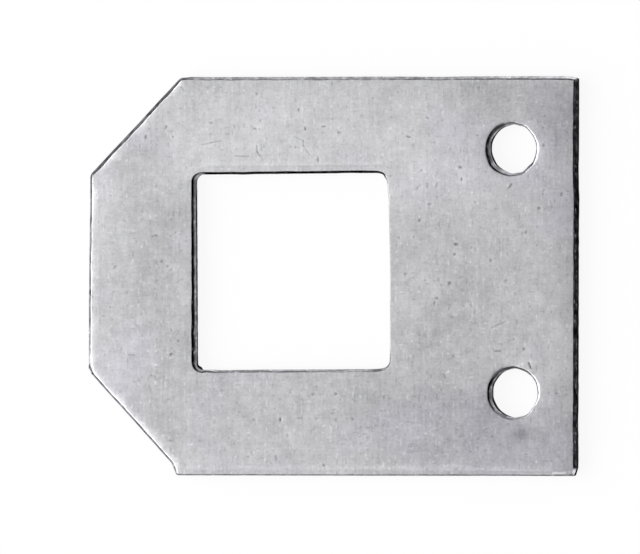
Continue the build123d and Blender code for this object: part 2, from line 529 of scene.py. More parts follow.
# Marks of the face: x, y, run across, run up, width, darkness and sometimes depth. Below nought is brighter
FACE_MARKS = [
    (9.0, 5.6, 0, 0, 0.16, 0.60), (12.7, 3.2, 0.1, 0, 0.15, 0.55), (12.6, 2.2, 0, 0, 0.15, 0.60),
    (16.3, 1.5, 0, 0.1, 0.13, 0.50), (21.2, 6.8, 0, 0, 0.14, 0.60), (13.1, 10.9, 0.1, 0, 0.17, 0.55),
    (13.3, 9.6, 0, 0.2, 0.11, 0.50), (8.8, 8.8, 0, 0, 0.14, 0.40), (9.2, 10.6, 0, 0, 0.14, 0.40),
    (9.9, 7.2, 0.2, 0, 0.15, 0.35), (14.7, 7.4, 0, 0, 0.13, 0.35), (12.1, -0.7, 0, 0, 0.17, 0.60),
    (10.8, -2.2, 0, 0, 0.16, 0.60), (10.6, -2.6, -0.1, -0.2, 0.12, 0.35), (7.6, 0.2, 0, 0, 0.15, 0.40),
    (9.6, -0.4, 0, 0, 0.12, 0.40), (11.0, -0.3, 0, 0, 0.12, 0.30), (17.8, -0.5, 0.1, 0.1, 0.14, 0.35),
    (12.4, -4.1, 0, 0, 0.16, 0.35), (9.6, -5.9, 0, 0, 0.16, 0.30), (18.7, -6.3, 0, 0, 0.12, 0.35),
    (19.7, -7.3, 0, 0, 0.17, 0.55), (16.7, -7.5, 0.6, 0, 0.10, 0.40), (12.5, -8.0, 0, 0, 0.16, 0.35),
    (20.2, -8.7, 0.2, -0.5, 0.11, 0.65, 0.025), (18.4, 9.2, -0.2, -0.3, 0.13, 0.50),
    (23.5, 8.1, 0, 0.2, 0.13, 0.40), (21.7, 8.6, 0, 0, 0.13, 0.35), (7.7, 14.0, 0.3, -0.1, 0.11, 0.45),
    (0.7, 14.4, 0.1, 0, 0.16, 0.40), (-1.0, 15.0, 0.3, 0, 0.11, 0.40), (9.7, 15.9, 0.2, -0.1, 0.10, 0.35),
    (14.9, 14.1, 0, 0, 0.13, 0.35), (21.7, 14.9, 0, 0, 0.12, 0.35), (21.7, 13.0, 0, 0.2, 0.12, 0.35),
    (19.9, 4.3, 0, 0.2, 0.13, 0.35), (6.9, 3.9, 0, 0, 0.13, 0.40), (8.4, 3.9, 0, 0, 0.13, 0.35),
    (10.8, 9.3, -0.1, -0.3, 0.12, 0.30), (-7.7, 18.3, 0, 0, 0.12, 0.45), (-7.4, 16.6, 0, 0, 0.12, 0.35),
    (-7.3, 15.6, 0, 0, 0.12, 0.30), (-8.0, 14.8, 0.2, 0, 0.11, 0.40), (-3.4, 16.6, 0, 0.2, 0.11, 0.40),
    (-2.7, 14.7, 0, 0.2, 0.11, 0.50), (-6.9, 13.0, 0, 0, 0.11, 0.40), (-4.2, 13.0, 0, 0, 0.12, 0.35),
    (-1.4, 11.5, 0, 0.4, 0.11, 0.45), (-12.5, 15.4, 0.2, 0, 0.11, 0.35), (-19.1, 14.1, 0, -0.2, 0.13, 0.50),
    (-17.0, 15.1, 0, -0.2, 0.12, 0.45), (-16.3, 14.0, 0, 0, 0.13, 0.40), (-21.2, 5.6, 0, 0, 0.14, 0.30),
    (-18.4, 4.0, 0.5, 0.1, 0.12, 0.30), (-17.4, 1.5, 0, 0, 0.17, 0.45), (-16.8, 1.0, 0, 0, 0.15, 0.35),
    (-22.3, 0.8, 0.1, 0.2, 0.13, 0.35), (-16.0, 4.4, 0, 0, 0.13, 0.30), (-22.7, -3.1, 0, 0, 0.13, 0.35),
    (-16.5, -7.9, 0.1, 0.1, 0.15, 0.50), (-15.7, -6.5, 0, 0, 0.14, 0.35), (0.5, -11.8, 0, 0, 0.14, 0.60),
    (-2.0, -11.9, 0.2, 0.1, 0.12, 0.35), (2.2, -14.3, 0, 0, 0.13, 0.45), (-5.2, -14.4, 0, 0, 0.13, 0.50),
    (-7.9, -14.4, 0, 0, 0.13, 0.40), (0.3, -13.4, 0, 0, 0.14, 0.35), (-8.5, -18.1, 0, 0, 0.13, 0.50),
    (-0.8, -18.9, 0.1, -0.1, 0.13, 0.45), (-5.7, -18.0, 0.1, -0.4, 0.11, 0.35),
    (11.5, -9.8, 0.2, -0.4, 0.12, 0.30), (0.5, -14.5, 0, 0.2, 0.12, 0.30),
    (-20.8, -7.9, 0.6, 0, 0.10, 0.25), (-13.3, 13.2, 0.9, 0.2, 0.09, 0.22, 0.005),
    (-12.4, 13.4, 1.1, 0.2, 0.08, 0.26, 0.006), (-9.9, 12.1, 1.4, -0.1, 0.08, 0.28, 0.006),
    (-7.7, 13.1, 0.1, -0.7, 0.09, 0.36, 0.008), (-7.6, 12.4, 0.3, -0.4, 0.09, 0.32, 0.008),
    (-3.8, 14.0, 0.9, -0.4, 0.09, 0.20, 0.005), (-2.9, 13.6, 0, -0.5, 0.09, 0.26, 0.006),
    (-2.9, 13.1, 0.6, -0.9, 0.09, 0.18, 0.004), (16.3, -5.2, 1.6, 0.7, 0.08, 0.25, 0.006),
    (13.5, -3.1, 0.8, 0.31, 0.17, -0.12, 0.003), (14.5, -2.80, 0.65, -0.70, 0.14, -0.12, 0.003),
    (15.1, -3.55, -0.5, -0.3, 0.14, -0.10, 0.002), (12.9, -3.7, 0.2, 0.5, 0.17, -0.10, 0.002),
    (19.2, -15.9, 0.35, 0.1, 0.60, 0.27, 0), (19.6, -15.45, 0, 0, 0.40, 0.12, 0),
]

# Marks beside the cut edges, in the same form: a few are nicks, and the long pale and dark lines along
# the bottom and left edges and beside the window are painted highlight and painted shade of the rims
RIM_MARKS_AND_PAINTED_LIGHT = [
    (-24.66, -9.15, 0.16, -0.40, 0.07, 0.65, 0.02), (-24.4, -9.8, -0.1, 0.22, 0.06, 0.55, 0.01),
    (-24.68, -1.95, 0.20, -0.12, 0.05, 0.50, 0.01), (19.0, -19.74, 5.2, 0, 0.06, -0.12, 0),
    (-18.8, -10.3, 0.3, 0.35, 0.08, 0.22, 0.003), (-18.5, -9.95, 0.4, -0.1, 0.08, 0.22, 0.003),
    (-18.1, -10.05, 0.25, -0.5, 0.08, 0.20, 0.003), (-18.7, -10.9, 0.2, -0.6, 0.09, 0.20, 0.003),
    (22.7, -19.70, 1.3, 0.02, 0.11, -0.50, 0), (24.2, -19.55, 0.30, 0, 0.20, -0.30, 0),
    (-15.5, 19.05, 0.25, -0.35, 0.12, 0.35, 0), (6.22, -8.1, 0, -0.35, 0.08, -0.25, 0),
    (-24.50, 9.5, -0.06, -3.2, 0.10, -0.14, 0), (-14.0, -19.56, 37.5, 0, 0.13, 0.045, 0),
    (-14.5, -19.22, 23.0, 0.02, 0.20, -0.045, 0), (9.0, -18.85, 14.5, 0, 0.25, 0.03, 0),
    (-24.0, 8.0, 0, -13.5, 0.09, -0.05, 0), (-23.55, 7.0, 0.02, -10.0, 0.07, -0.04, 0),
]

# Painted highlight streaks beside the bottom edge and above the window, with one painted dark line above
# the window, in the same form
PAINTED_RIM_LIGHT_STREAKS = [
    (-17.0, -19.25, 22.0, 0.05, 0.38, -0.08, 0), (5.0, -19.25, 17.5, 0, 0.36, -0.12, 0),
    (11.5, -18.95, 2.5, -0.05, 0.10, -0.10, 0.002), (3.0, -19.1, 4.0, 0, 0.12, -0.06, 0.002),
    (14.5, -19.35, 8.0, -0.15, 0.10, -0.10, 0.002), (-13.0, 11.25, 18.5, 0.12, 0.22, -0.10, 0),
    (-13.0, 10.95, 18.5, 0.12, 0.07, 0.10, 0.003),
]

# The small dark marks were set out a little too wide and too pale, so all of them are corrected together
THIN_MARK = 0.2
NARROWER = 0.95
DARKER = 1.2
DARKEST = 0.85
RUN_DEPTH_SHARE = 0.6
PIT_DEPTH_SHARE = 1.3

marks = [mark(*row) for row in FACE_MARKS]
for item in marks:
    if 0 < item["dark"] and item["width"] < THIN_MARK:
        item["width"] *= NARROWER
        item["dark"] = min(DARKEST, item["dark"] * DARKER)
        item["depth"] *= RUN_DEPTH_SHARE if item["dx"] or item["dy"] else PIT_DEPTH_SHARE
# The rim rows and the streaks add painted highlight and painted shade beside the rims
marks += [mark(*row) for row in RIM_MARKS_AND_PAINTED_LIGHT + PAINTED_RIM_LIGHT_STREAKS]
placed_count = len(marks)
print(placed_count, "placed marks")

# %% [markdown]
# Faint marks all over
#
# Between the marks that stand out, tumbled steel is covered in faint ones. They are scattered with a
# fixed seed, so that each run gives the same plate. Most run up the plate and most are dark.

# %% Scattered marks
FAINT_MARKS = 460
SCATTER_SEED = 31
CLEAR_OF_ENDS = 0.8
CLEAR_OF_SIDES = 0.6
LONGEST_RUN = 0.5
SHARE_THAT_RUNS = 0.6
SHARE_UPRIGHT = 0.65
SHARE_DARK = 0.7
DARKNESS = (0.08, 0.26)
BRIGHTNESS = (-0.18, -0.06)
WIDTHS = (0.07, 0.12)
DEPTHS = (0.002, 0.009)

scatter = np.random.RandomState(SCATTER_SEED)
while len(marks) < placed_count + FAINT_MARKS:
    x = scatter.uniform(left + CLEAR_OF_ENDS, right - CLEAR_OF_ENDS)
    y = scatter.uniform(bottom + CLEAR_OF_SIDES, top - CLEAR_OF_SIDES)
    run = scatter.uniform(0, LONGEST_RUN) if scatter.rand() < SHARE_THAT_RUNS else 0.0
    upright = scatter.rand() < SHARE_UPRIGHT
    dark = scatter.uniform(*DARKNESS) if scatter.rand() < SHARE_DARK else scatter.uniform(*BRIGHTNESS)
    marks.append(mark(x, y, 0.0 if upright else run, run if upright else 0.0,
                      scatter.uniform(*WIDTHS), dark, scatter.uniform(*DEPTHS)))
print(len(marks) - placed_count, "scattered marks")

# %% [markdown]
# Pressing the marks in
#
# A mark is pressed into the mesh, which gets extra points along and beside it. Its darkness is kept on
# the same points and is handed to the finish later. A small mark gets a faint pale rim, where the steel
# was pushed up and rubbed.

# %% How marks change the skin
RIM_SHARE = 0.4
RIM_POWER = 0.25
CLEAR_OF_ROLL = 0.1
POINTS_ALONG = 0.9
BESIDE_MARK = (-1.6, -0.8, 0.8, 1.6)
PAST_MARK_ENDS = ((0.0, -0.8), (0.0, -1.6), (1.0, 0.8), (1.0, 1.6))


def closeness(item, x, y):
    """How close points are to a mark: 1 on its line, and fading over its width."""
    run_squared = item["dx"] ** 2 + item["dy"] ** 2
    along = (x - item["x"]) * item["dx"] + (y - item["y"]) * item["dy"]
    share = np.clip(along / run_squared, 0, 1) if run_squared else np.zeros(len(x))
    away = np.hypot(x - item["x"] - share * item["dx"], y - item["y"] - share * item["dy"])
    return np.exp(-(away / item["width"]) ** 2)


def press_marks(x, y):
    """For arrays of points: how dark or light the marks make them, painted rim highlight and shade included,
    and how deep they press them.
    """
    light_left = np.ones(len(x))
    pressed = np.zeros(len(x))
    for item in marks:
        strength = closeness(item, x, y)
        rim = RIM_SHARE if item["width"] < THIN_MARK else 0.0
        light_left *= 1 - item["dark"] * ((1 + rim) * strength - rim * strength ** RIM_POWER)
        pressed += item["depth"] * strength
    return light_left, pressed


def mark_points():
    """Extra mesh points along and beside each mark."""
    points = []
    for item in marks:
        run = math.hypot(item["dx"], item["dy"])
        turn = math.atan2(item["dy"], item["dx"])
        across = Vector((-math.sin(turn), math.cos(turn)))
        steps = max(0, int(round(run / (POINTS_ALONG * item["width"]))))
        for k in range(steps + 1):
            share = k / steps if steps else 0.0
            on_line = Vector((item["x"] + item["dx"] * share, item["y"] + item["dy"] * share))
            points.append(tuple(on_line))
            for side in BESIDE_MARK:
                points.append(tuple(on_line + across * side * item["width"]))
        for end, reach in PAST_MARK_ENDS:
            points.append((item["x"] + item["dx"] * end + math.cos(turn) * reach * item["width"],
                           item["y"] + item["dy"] * end + math.sin(turn) * reach * item["width"]))
    kept = []
    for x, y in points:
        distance, edge, k, in_steel = nearest_edge(x, y)
        if in_steel and distance > edge["roll"][k] + CLEAR_OF_ROLL:
            kept.append((x, y))
    return kept


extra_points = mark_points()
print("extra mesh points for the marks:", len(extra_points))

# %% [markdown]
# Film, painted shade and oil
#
# A thin film from tumbling dulls the steel in broad clouds, and old oil tints some of them a little
# violet. Part of the broad darker and lighter clouds are painted shade and painted light instead, which
# stand in for the uneven way the lamps fall across the face, such as the lighter band along the top.
# Noise alone would put such clouds anywhere, so the broad ones are placed like the marks, only wide and
# without depth, and the finish adds noise to them.

# %% Clouds of film, painted shade and oil
# Clouds of film and of painted shade and light: x, y, run across, run up, width in mm, and darkness. Below
# nought is brighter
FILM_AND_SHADE_CLOUDS = [
    (-13.0, 14.0, 24.0, -0.5, 4.5, -0.15), (-2.5, 13.8, 0, 0, 2.0, -0.05), (11.5, 15.2, 0, 0, 3.0, 0.05),
    (17.5, -17.4, 5.5, 0, 2.2, 0.055), (11.8, -14.5, 0, -2.0, 3.0, 0.03),
    (23.2, -11.5, 0, -4.5, 1.8, -0.03), (-8.0, -14.0, 3.0, 0, 3.5, -0.025),
    (8.5, 9.0, 6.0, 1.0, 3.4, -0.10), (16.3, 9.0, 0, 0, 2.2, -0.07), (-17.6, 8.0, 0.3, -12.0, 2.1, 0.06),
    (-17.9, 0.2, 0, 0, 2.0, 0.06), (-22.9, 9.0, 0, -6.0, 1.5, -0.08), (-20.6, -8.0, 0, 0, 3.0, -0.08),
    (5.0, -14.2, 16.0, -1.0, 4.2, 0.11), (14.6, -13.6, 0, 0, 2.8, 0.11), (8.5, -7.0, 2.0, 0, 3.2, 0.08),
    (23.0, 14.5, 0, 2.0, 2.8, 0.10), (15.0, 18.6, 4.0, 0, 1.8, 0.08), (23.2, -7.0, 0, 0, 3.0, -0.10),
    (-16.0, -16.5, -2.5, 3.0, 1.8, 0.06), (-1.5, -16.0, 0, 0, 2.6, -0.05), (12.0, 18.4, 5.0, 0, 1.6, 0.055),
    (21.0, 19.0, 0.8, 0, 1.3, 0.09), (-2.5, 18.6, 6.0, 0, 1.6, -0.045), (-12.6, 15.4, 0, 0, 1.5, -0.045),
    (-19.8, 13.4, 0, 0, 1.2, 0.05), (-4.5, 12.4, 6.0, 0.2, 1.2, -0.045), (-23.2, 10.0, 0, -2.6, 1.4, -0.08),
    (7.0, 8.2, 0.2, -1.8, 1.3, -0.085), (11.6, 10.2, 0.6, -2.0, 1.5, 0.055), (15.0, 6.0, 0, 0, 1.2, -0.07),
    (12.6, 4.2, 1.6, 0.4, 1.1, -0.055), (19.2, 4.2, 0, 0, 1.3, 0.045), (12.4, 0.6, 0.2, -2.2, 1.5, 0.065),
    (15.0, -2.4, 1.4, -0.6, 1.3, 0.055), (10.0, -4.8, 5.0, -0.4, 1.4, 0.07),
    (14.8, -7.4, 0, -1.6, 1.1, 0.07), (18.0, -8.2, 1.2, -0.3, 1.0, -0.10),
    (22.2, -5.0, 1.2, -1.6, 1.2, -0.05), (6.8, -9.0, 0, 0, 1.1, -0.08), (10.8, -8.0, 2.0, 0, 1.2, -0.045),
    (-17.3, -6.4, 0, 0, 1.6, 0.07), (-18.6, 0.4, 0, -2.8, 1.5, 0.045), (-21.8, -8.9, 1.6, -2.8, 1.3, -0.08),
    (-18.4, -12.2, 0, 0, 1.2, -0.06), (1.0, -11.4, 3.0, -1.0, 1.5, 0.06), (-5.0, -11.2, 0, 0, 1.2, -0.06),
    (-7.0, -13.0, 0, 0, 1.4, 0.045), (-16.6, -15.6, 0, 0, 1.0, 0.06), (-6.5, -17.0, 1.6, 0, 1.2, -0.07),
    (0.6, -17.0, 2.8, 0.2, 1.2, -0.065), (-2.2, -17.2, 0, 0, 0.9, 0.06),
    (-13.5, -18.2, 5.5, 0, 1.2, -0.045), (15.4, -14.0, 0, 0, 1.4, 0.07), (8.0, -17.4, 4.0, 0, 1.6, 0.05),
    (23.4, -16.4, 0.2, -1.6, 1.2, -0.07),
]

# Where the oil tints the steel, in the same form, with the strength of the tint last
OIL_CLOUDS = [
    (22.8, 16.0, 0, -10.0, 3.4, 0.34), (22.8, -8.0, 0, -9.0, 3.2, 0.17),
    (9.5, -15.5, 12.5, -1.0, 4.0, 0.34), (12.0, 16.5, 6.0, 0, 3.4, 0.15), (2.0, -15.0, 3.0, 0, 3.0, 0.10),
]


def clouds_at(rows, x, y):
    """For arrays of points: how strongly a list of broad clouds covers them."""
    total = np.zeros(len(x))
    for row in rows:
        cloud = mark(*row)
        total += cloud["dark"] * closeness(cloud, x, y)
    return total


print(len(FILM_AND_SHADE_CLOUDS), "clouds of film and", len(OIL_CLOUDS), "of oil")

# %% [markdown]
# The tone of the cut steel, with painted highlight and shade
#
# The punch rubbed some sides of the edge bright and left others dark with oil and oxide, but most of the
# difference between the sides is painted light and shade: the rims that face right are painted dark, and
# some rims, as in the holes, get painted highlights. So the edge has its own tones, as lists round the
# compass again: the brim at the top of the ramp, the foot of the ramp, the land and the break. The last
# list says how far down the ramp the brim's tone gives way to the foot's. They could be painted by hand,
# but the lists keep them tied to the steps of the edge.

# %% Tones by side, with painted highlight and shade, as the greys of a picture program
# Besides the steel's own burnish and oxide, these greys paint highlight and shade by the side an edge faces
BRIM_TONE = {
    "blank": [42, 36, 136, 104, 148, 130, 118, 60, 42],
    "window": [4, 60, 150, 160, 165, 150, 24, 60, 4],
    "upper_hole": [4, 16, 86, 170, 135, 150, 160, 160, 160, 128, 128, 12, 5],
    "lower_hole": [6, 50, 180, 180, 205, 215, 165, 148, 120, 95, 150, 44, 8],
}
FOOT_TONE = {
    "blank": [44, 42, 165, 112, 170, 145, 135, 70, 44],
    "window": [134, 180, 170, 170, 175, 160, 28, 115, 134],
    "upper_hole": [112, 145, 245, 188, 125, 140, 150, 165, 160, 138, 150, 156, 120],
    "lower_hole": [130, 145, 205, 192, 205, 215, 165, 165, 128, 110, 140, 120, 136],
}
LAND_TONE = {
    "blank": [58, 50, 130, 110, 120, 110, 110, 60, 58],
    "window": [124, 150, 140, 130, 130, 120, 100, 115, 124],
    "upper_hole": [145, 180, 254, 170, 130, 130, 130, 130, 110, 110, 130, 98, 145],
    "lower_hole": [142, 105, 46, 150, 150, 150, 130, 130, 110, 100, 90, 84, 146],
}
BREAK_TONE = {
    "blank": [54, 45, 70, 70, 70, 70, 70, 40, 54],
    "window": [40, 32, 60, 60, 60, 60, 60, 40, 40],
    "upper_hole": [36, 36, 165, 110, 90, 90, 90, 90, 80, 80, 85, 24, 36],
    "lower_hole": [40, 26, 24, 90, 80, 80, 80, 80, 70, 80, 66, 28, 40],
}
RAMP_TURN = {
    "blank": [0.50, 0.40, 0.30, 0.50, 0.50, 0.50, 0.50, 0.50, 0.50],
    "window": [0.60, 0.52, 0.50, 0.50, 0.50, 0.50, 0.50, 0.56, 0.60],
    "upper_hole": [0.60, 0.47, 0.40, 0.50, 0.50, 0.50, 0.50, 0.50, 0.50, 0.50, 0.50, 0.52, 0.52],
    "lower_hole": [0.52, 0.45, 0.40, 0.50, 0.50, 0.50, 0.50, 0.50, 0.50, 0.50, 0.50, 0.50, 0.52],
}
ON_RAMP_TURN = 0.2
BURR_TONE = 150

# Mottle, streaks and flakes on the cut steel: how strong by edge, and how large in mm along and through it
MOTTLE_TONES = {"blank": 20, "window": 12, "upper_hole": 20, "lower_hole": 20}
STREAK_TONES = {"blank": 16, "window": 30, "upper_hole": 44, "lower_hole": 44}
FLAKE_TONES = 150
FLAKE_LIMIT = 0.22
MOTTLE_MM = (0.55, 0.35)
STREAK_MM = (2.6, 0.055)
FLAKE_MM = (0.30, 0.12)
STREAK_SEED = 40
FLAKE_SEED = 80
DARKEST_TONE = 5
BRIGHTEST_TONE = 248

# Single places where the tone differs, mostly painted glints and painted dark shade on the rims:
# edge, x, y, reach in mm, and the tone of brim, foot, land and break
TOUCHES = [
    ("blank", 24.93, -19.65, 0.36, 242, 232, 25, 25), ("blank", 14.5, 20.0, 2.00, 88, 168, 150, 100),
    ("blank", 18.5, 20.0, 2.00, 72, 188, 150, 100), ("blank", 22.3, 20.0, 1.80, 40, 215, 200, 100),
    ("blank", 24.3, 20.0, 0.60, 10, 238, 228, 140), ("blank", 24.74, 19.9, 0.24, 12, 236, 228, 160),
    ("blank", 10.5, 20.0, 1.20, 120, 172, 150, 100), ("blank", -14.9, 20.0, 0.60, 95, 135, 100, 100),
    ("blank", -25.0, -8.35, 0.45, 200, 215, 200, 190), ("blank", -24.97, -9.10, 0.15, 80, 70, 60, 60),
    ("blank", -24.82, -9.52, 0.22, 110, 235, 225, 200), ("blank", -24.66, -9.78, 0.14, 80, 70, 60, 60),
    ("blank", -24.8, 8.9, 0.90, 128, 146, 100, 80), ("blank", -24.9, 5.7, 0.35, 105, 125, 100, 80),
    ("blank", -24.9, -1.6, 0.25, 90, 110, 100, 80), ("blank", -24.9, -6.5, 1.20, 160, 175, 100, 80),
    ("blank", 0.0, -20.0, 5.00, 118, 132, 100, 70), ("blank", 16.0, -20.0, 6.00, 104, 120, 90, 60),
    ("window", -13.85, -9.05, 0.30, 20, 160, 60, 5), ("window", -12.7, -9.35, 0.90, 124, 225, 200, 60),
    ("window", -13.87, 10.05, 0.42, 90, 170, 180, 120), ("window", -13.40, 10.24, 0.34, 125, 170, 190, 130),
    ("window", 5.62, 10.00, 0.36, 120, 150, 150, 120), ("window", 5.2, 10.30, 0.45, 25, 30, 40, 40),
    ("window", 5.75, -8.3, 0.80, 118, 118, 110, 60), ("window", 4.6, -9.3, 0.60, 112, 124, 110, 60),
    ("upper_hole", 17.28, 14.78, 0.50, 78, 95, 110, 80),
    ("upper_hole", 16.75, 11.0, 0.55, 25, 200, 225, 55), ("upper_hole", 20.3, 11.1, 0.45, 95, 95, 90, 60),
    ("lower_hole", 17.7, -13.85, 0.34, 160, 125, 30, 8),
    ("lower_hole", 16.6, -12.9, 0.50, 55, 185, 110, 34),
]
print(len(TOUCHES), "places have tones of their own")

# %% [markdown]
# Mixing the tones of a ring
#
# Each step's tone is its side's, changed at the single places, and broken up by three noises: blotches
# of oil, streaks that run lengthwise, and a few light flakes where the steel has torn.

# %% Tones of the steps
PICTURE_GAMMA = 2.2
WHITE = 255
TOUCH_POWER = 4


def grey(tone):
    """A picture program's grey, 0 to 255, as the linear value that Blender works in."""
    return (np.asarray(tone, float) / WHITE) ** PICTURE_GAMMA


def touched(tones, edge, name, part):
    """The tones of one edge's brim, foot, land or break with the single places mixed in."""
    for edge_name, x, y, reach, *part_tones in TOUCHES:
        if edge_name == name:
            share = nearness(edge["points"], x, y, reach, TOUCH_POWER)
            tones = tones * (1 - share) + part_tones[part] * share
    return tones


def speckle(x, y, depth_mm, size, seed):
    """Smooth noise on the cut steel, of one size along the edge and another through the sheet."""
    return noise.noise(Vector((x / size[0], y / size[0], seed + depth_mm / size[1])))


def mottled(name, tones, edge, depth_mm, seed):
    """The tones of one ring with blotches, lengthwise streaks and a few light flakes."""
    mixed = np.array(tones, float)
    for k, (x, y) in enumerate(edge["points"]):
        blotch = speckle(x, y, depth_mm, MOTTLE_MM, seed)
        streak = speckle(x, y, depth_mm, STREAK_MM, seed + STREAK_SEED)
        flake = speckle(x, y, depth_mm, FLAKE_MM, seed + FLAKE_SEED)
        mixed[k] += (MOTTLE_TONES[name] * 2 * blotch + STREAK_TONES[name] * 2 * streak
                     + FLAKE_TONES * max(0.0, flake - FLAKE_LIMIT))
    return grey(np.clip(mixed, DARKEST_TONE, BRIGHTEST_TONE))


print("the burr's tone as a linear value:", round(float(grey(BURR_TONE)), 3))

# %% [markdown]
# The rings of a cut edge
#
# One section is repeated at every step of the walk: the gentle bend, the steep ramp, the land, the rough
# break that falls back, the burr's lip and a little of the rear face. Each ring of points is joined to the
# next by four-sided faces. The first ring is shared with the front face and the last one with the rear
# face, so the skin closes without a gap. A curve with a bevel profile would be quicker, but it can't
# change its section along the way.

# %% Points of every ring
BEND_RINGS = 6
RAMP_RINGS = 6
LAND_RINGS = 4
BREAK_RINGS = 6
BEND_POWER = 2.4
BREAK_WAVE_MM = 0.35
BREAK_WAVE_DEPTH = 0.012
BREAK_SEED = 50
TONE_EVEN_STEPS = 3
FACE, LAND, BREAK = 0, 1, 2

# How deep in the sheet the noise of the tones is looked up, at the foot of the ramp, the land and the break
FOOT_DEPTH = 0.4
LAND_DEPTH = 1.0
BREAK_DEPTH = 1.5

# The burr's lip and the start of the rear face: how far in, in mm, and how much of the burr's height
REAR_LIP = ((0.10, 0.4), (0.14, 0.9), (0.20, 1.0))


def bend_section():
    """The bend and the ramp as rings: share of each width passed, and drop per width and slope of each."""
    rings = []
    for k in range(1, BEND_RINGS + 1):
        share = k / BEND_RINGS
        rings.append((share, 0.0, share ** BEND_POWER / BEND_POWER, 0.0))
    for k in range(1, RAMP_RINGS + 1):
        share = k / RAMP_RINGS
        rings.append((1.0, share, 1 / BEND_POWER, math.tan(RAMP_SLOPE) * share))
    return rings


def ring(edge, inward, height):
    """One closed ring of points, at a distance inside the cut line and a height over the rear plane."""
    flat = edge["points"] + edge["inward"] * np.asarray(inward)[:, None]
    return np.column_stack([flat, height])


def edge_rings(name, edge, seed):
    """The rings of one cut edge from front to rear, the tone of each, and the finish of each band between."""
    count = len(edge["points"])
    start = edge["points"] + edge["inward"] * edge["roll"][:, None]
    brim = np.array([face_height(x, y) for x, y in start])
    sides = [touched(by_facing(table[name], edge, TONE_EVEN_STEPS), edge, name, part)
             for part, table in enumerate((BRIM_TONE, FOOT_TONE, LAND_TONE, BREAK_TONE))]
    brim_tone, foot_tone, land_tone, break_tone = sides
    turn_share = by_facing(RAMP_TURN[name], edge, TONE_EVEN_STEPS) * uneven(edge, "ramp_turn", seed)
    rings = [np.column_stack([start, brim])]
    tones = [grey(brim_tone)]
    bands = []
    for bend_share, ramp_share, bend_drop, ramp_drop in bend_section():
        inward = edge["bend"] * (1 - bend_share) + edge["ramp"] * (1 - ramp_share)
        bend_height = edge["bend"] * (edge["sag"] / edge["reach"] * bend_share + edge["slope"] * bend_drop)
        height = brim - bend_height - edge["ramp"] * ramp_drop
        rings.append(ring(edge, inward, height))
        foot = np.clip((ramp_share - turn_share) / ON_RAMP_TURN + 0.5, 0, 1)
        side_tone = brim_tone * (1 - foot) + foot_tone * foot
        tones.append(mottled(name, side_tone, edge, FOOT_DEPTH * ramp_share, seed))
        bands.append(LAND if ramp_share > 0 else FACE)
    land_top = height
    for k in range(1, LAND_RINGS + 1):
        share = k / LAND_RINGS
        rings.append(ring(edge, np.zeros(count), land_top + (edge["crack"] - land_top) * share))
        tones.append(mottled(name, land_tone, edge, FOOT_DEPTH + (LAND_DEPTH - FOOT_DEPTH) * share, seed))
        bands.append(LAND)
    for k in range(1, BREAK_RINGS + 1):
        share = k / BREAK_RINGS
        rough = BREAK_WAVE_DEPTH * wander(edge, BREAK_WAVE_MM, seed + BREAK_SEED + k)
        inward = edge["lean"] * share + rough * math.sin(math.pi * share)
        rings.append(ring(edge, inward, edge["crack"] * (1 - share)))
        tones.append(mottled(name, break_tone, edge, LAND_DEPTH + (BREAK_DEPTH - LAND_DEPTH) * share, seed))
        bands.append(BREAK)
    for inward, height_share in REAR_LIP:
        rings.append(ring(edge, np.full(count, inward), np.full(count, BURR_HEIGHT * height_share)))
        tones.append(np.full(count, grey(BURR_TONE)))
        bands.append(LAND)
    return rings, tones, bands


print("rings between the two faces:", BEND_RINGS + RAMP_RINGS + LAND_RINGS + BREAK_RINGS + len(REAR_LIP))

# %% [markdown]
# Points on the two faces
#
# Between the edges a face needs its own points, or it would be a few long triangles that can't sag. They
# stand in a slightly shaken grid, which shows no rows in the shine, with closer rows beside the rims.

# %% Points of the two faces
FACE_SPACING = 0.32
REAR_SPACING = 0.9
FACE_CLEAR_OF_EDGE = 0.6
REAR_CLEAR_OF_EDGE = 0.8
SHAKE = 0.25
SHAKE_SEED = 7
BRIM_OFFSETS = (0.05, 0.12, 0.22, 0.36, 0.54, 0.78, 1.1)
OWN_EDGE_SHARE = 0.8


def inner_points(spacing, clear_of_edge):
    """A slightly shaken grid of points over the steel, clear of the cut edges."""
    draw = np.random.RandomState(SHAKE_SEED)
    points = []
    for x in np.arange(left, right, spacing):
        for y in np.arange(bottom, top, spacing):
            px = x + draw.uniform(-SHAKE, SHAKE) * spacing
            py = y + draw.uniform(-SHAKE, SHAKE) * spacing
            distance, edge, k, in_steel = nearest_edge(px, py)
            if in_steel and distance > edge["roll"][k] + clear_of_edge:
                points.append((px, py))
    return points


def brim_points():
    """Points that follow each cut edge on the face, closer together where the face bends most."""
    points = []
    for edge in edges.values():
        for n, offset in enumerate(BRIM_OFFSETS):
            skip = 1 + n // 2
            for k in range(0, len(edge["points"]), skip):
                x, y = edge["points"][k] + edge["inward"][k] * (edge["roll"][k] + offset)
                distance, near, j, in_steel = nearest_edge(x, y)
                if in_steel and distance > near["roll"][j] + OWN_EDGE_SHARE * offset:
                    points.append((x, y))
    return points


face_points = brim_points() + extra_points + inner_points(FACE_SPACING, FACE_CLEAR_OF_EDGE)
rear_points = inner_points(REAR_SPACING, REAR_CLEAR_OF_EDGE)
print("loose points: front", len(face_points), "rear", len(rear_points))

# %% [markdown]
# Filling a face
#
# A face is what lies between its borders, with triangles as even as the points allow, which is what a
# constrained Delaunay filling gives. It also fills the holes, so the filling is followed from the loose
# points outwards and stops at each border: what it never reaches is no steel.

# %% Triangles between the borders


FILL_JOINS = 1e-6


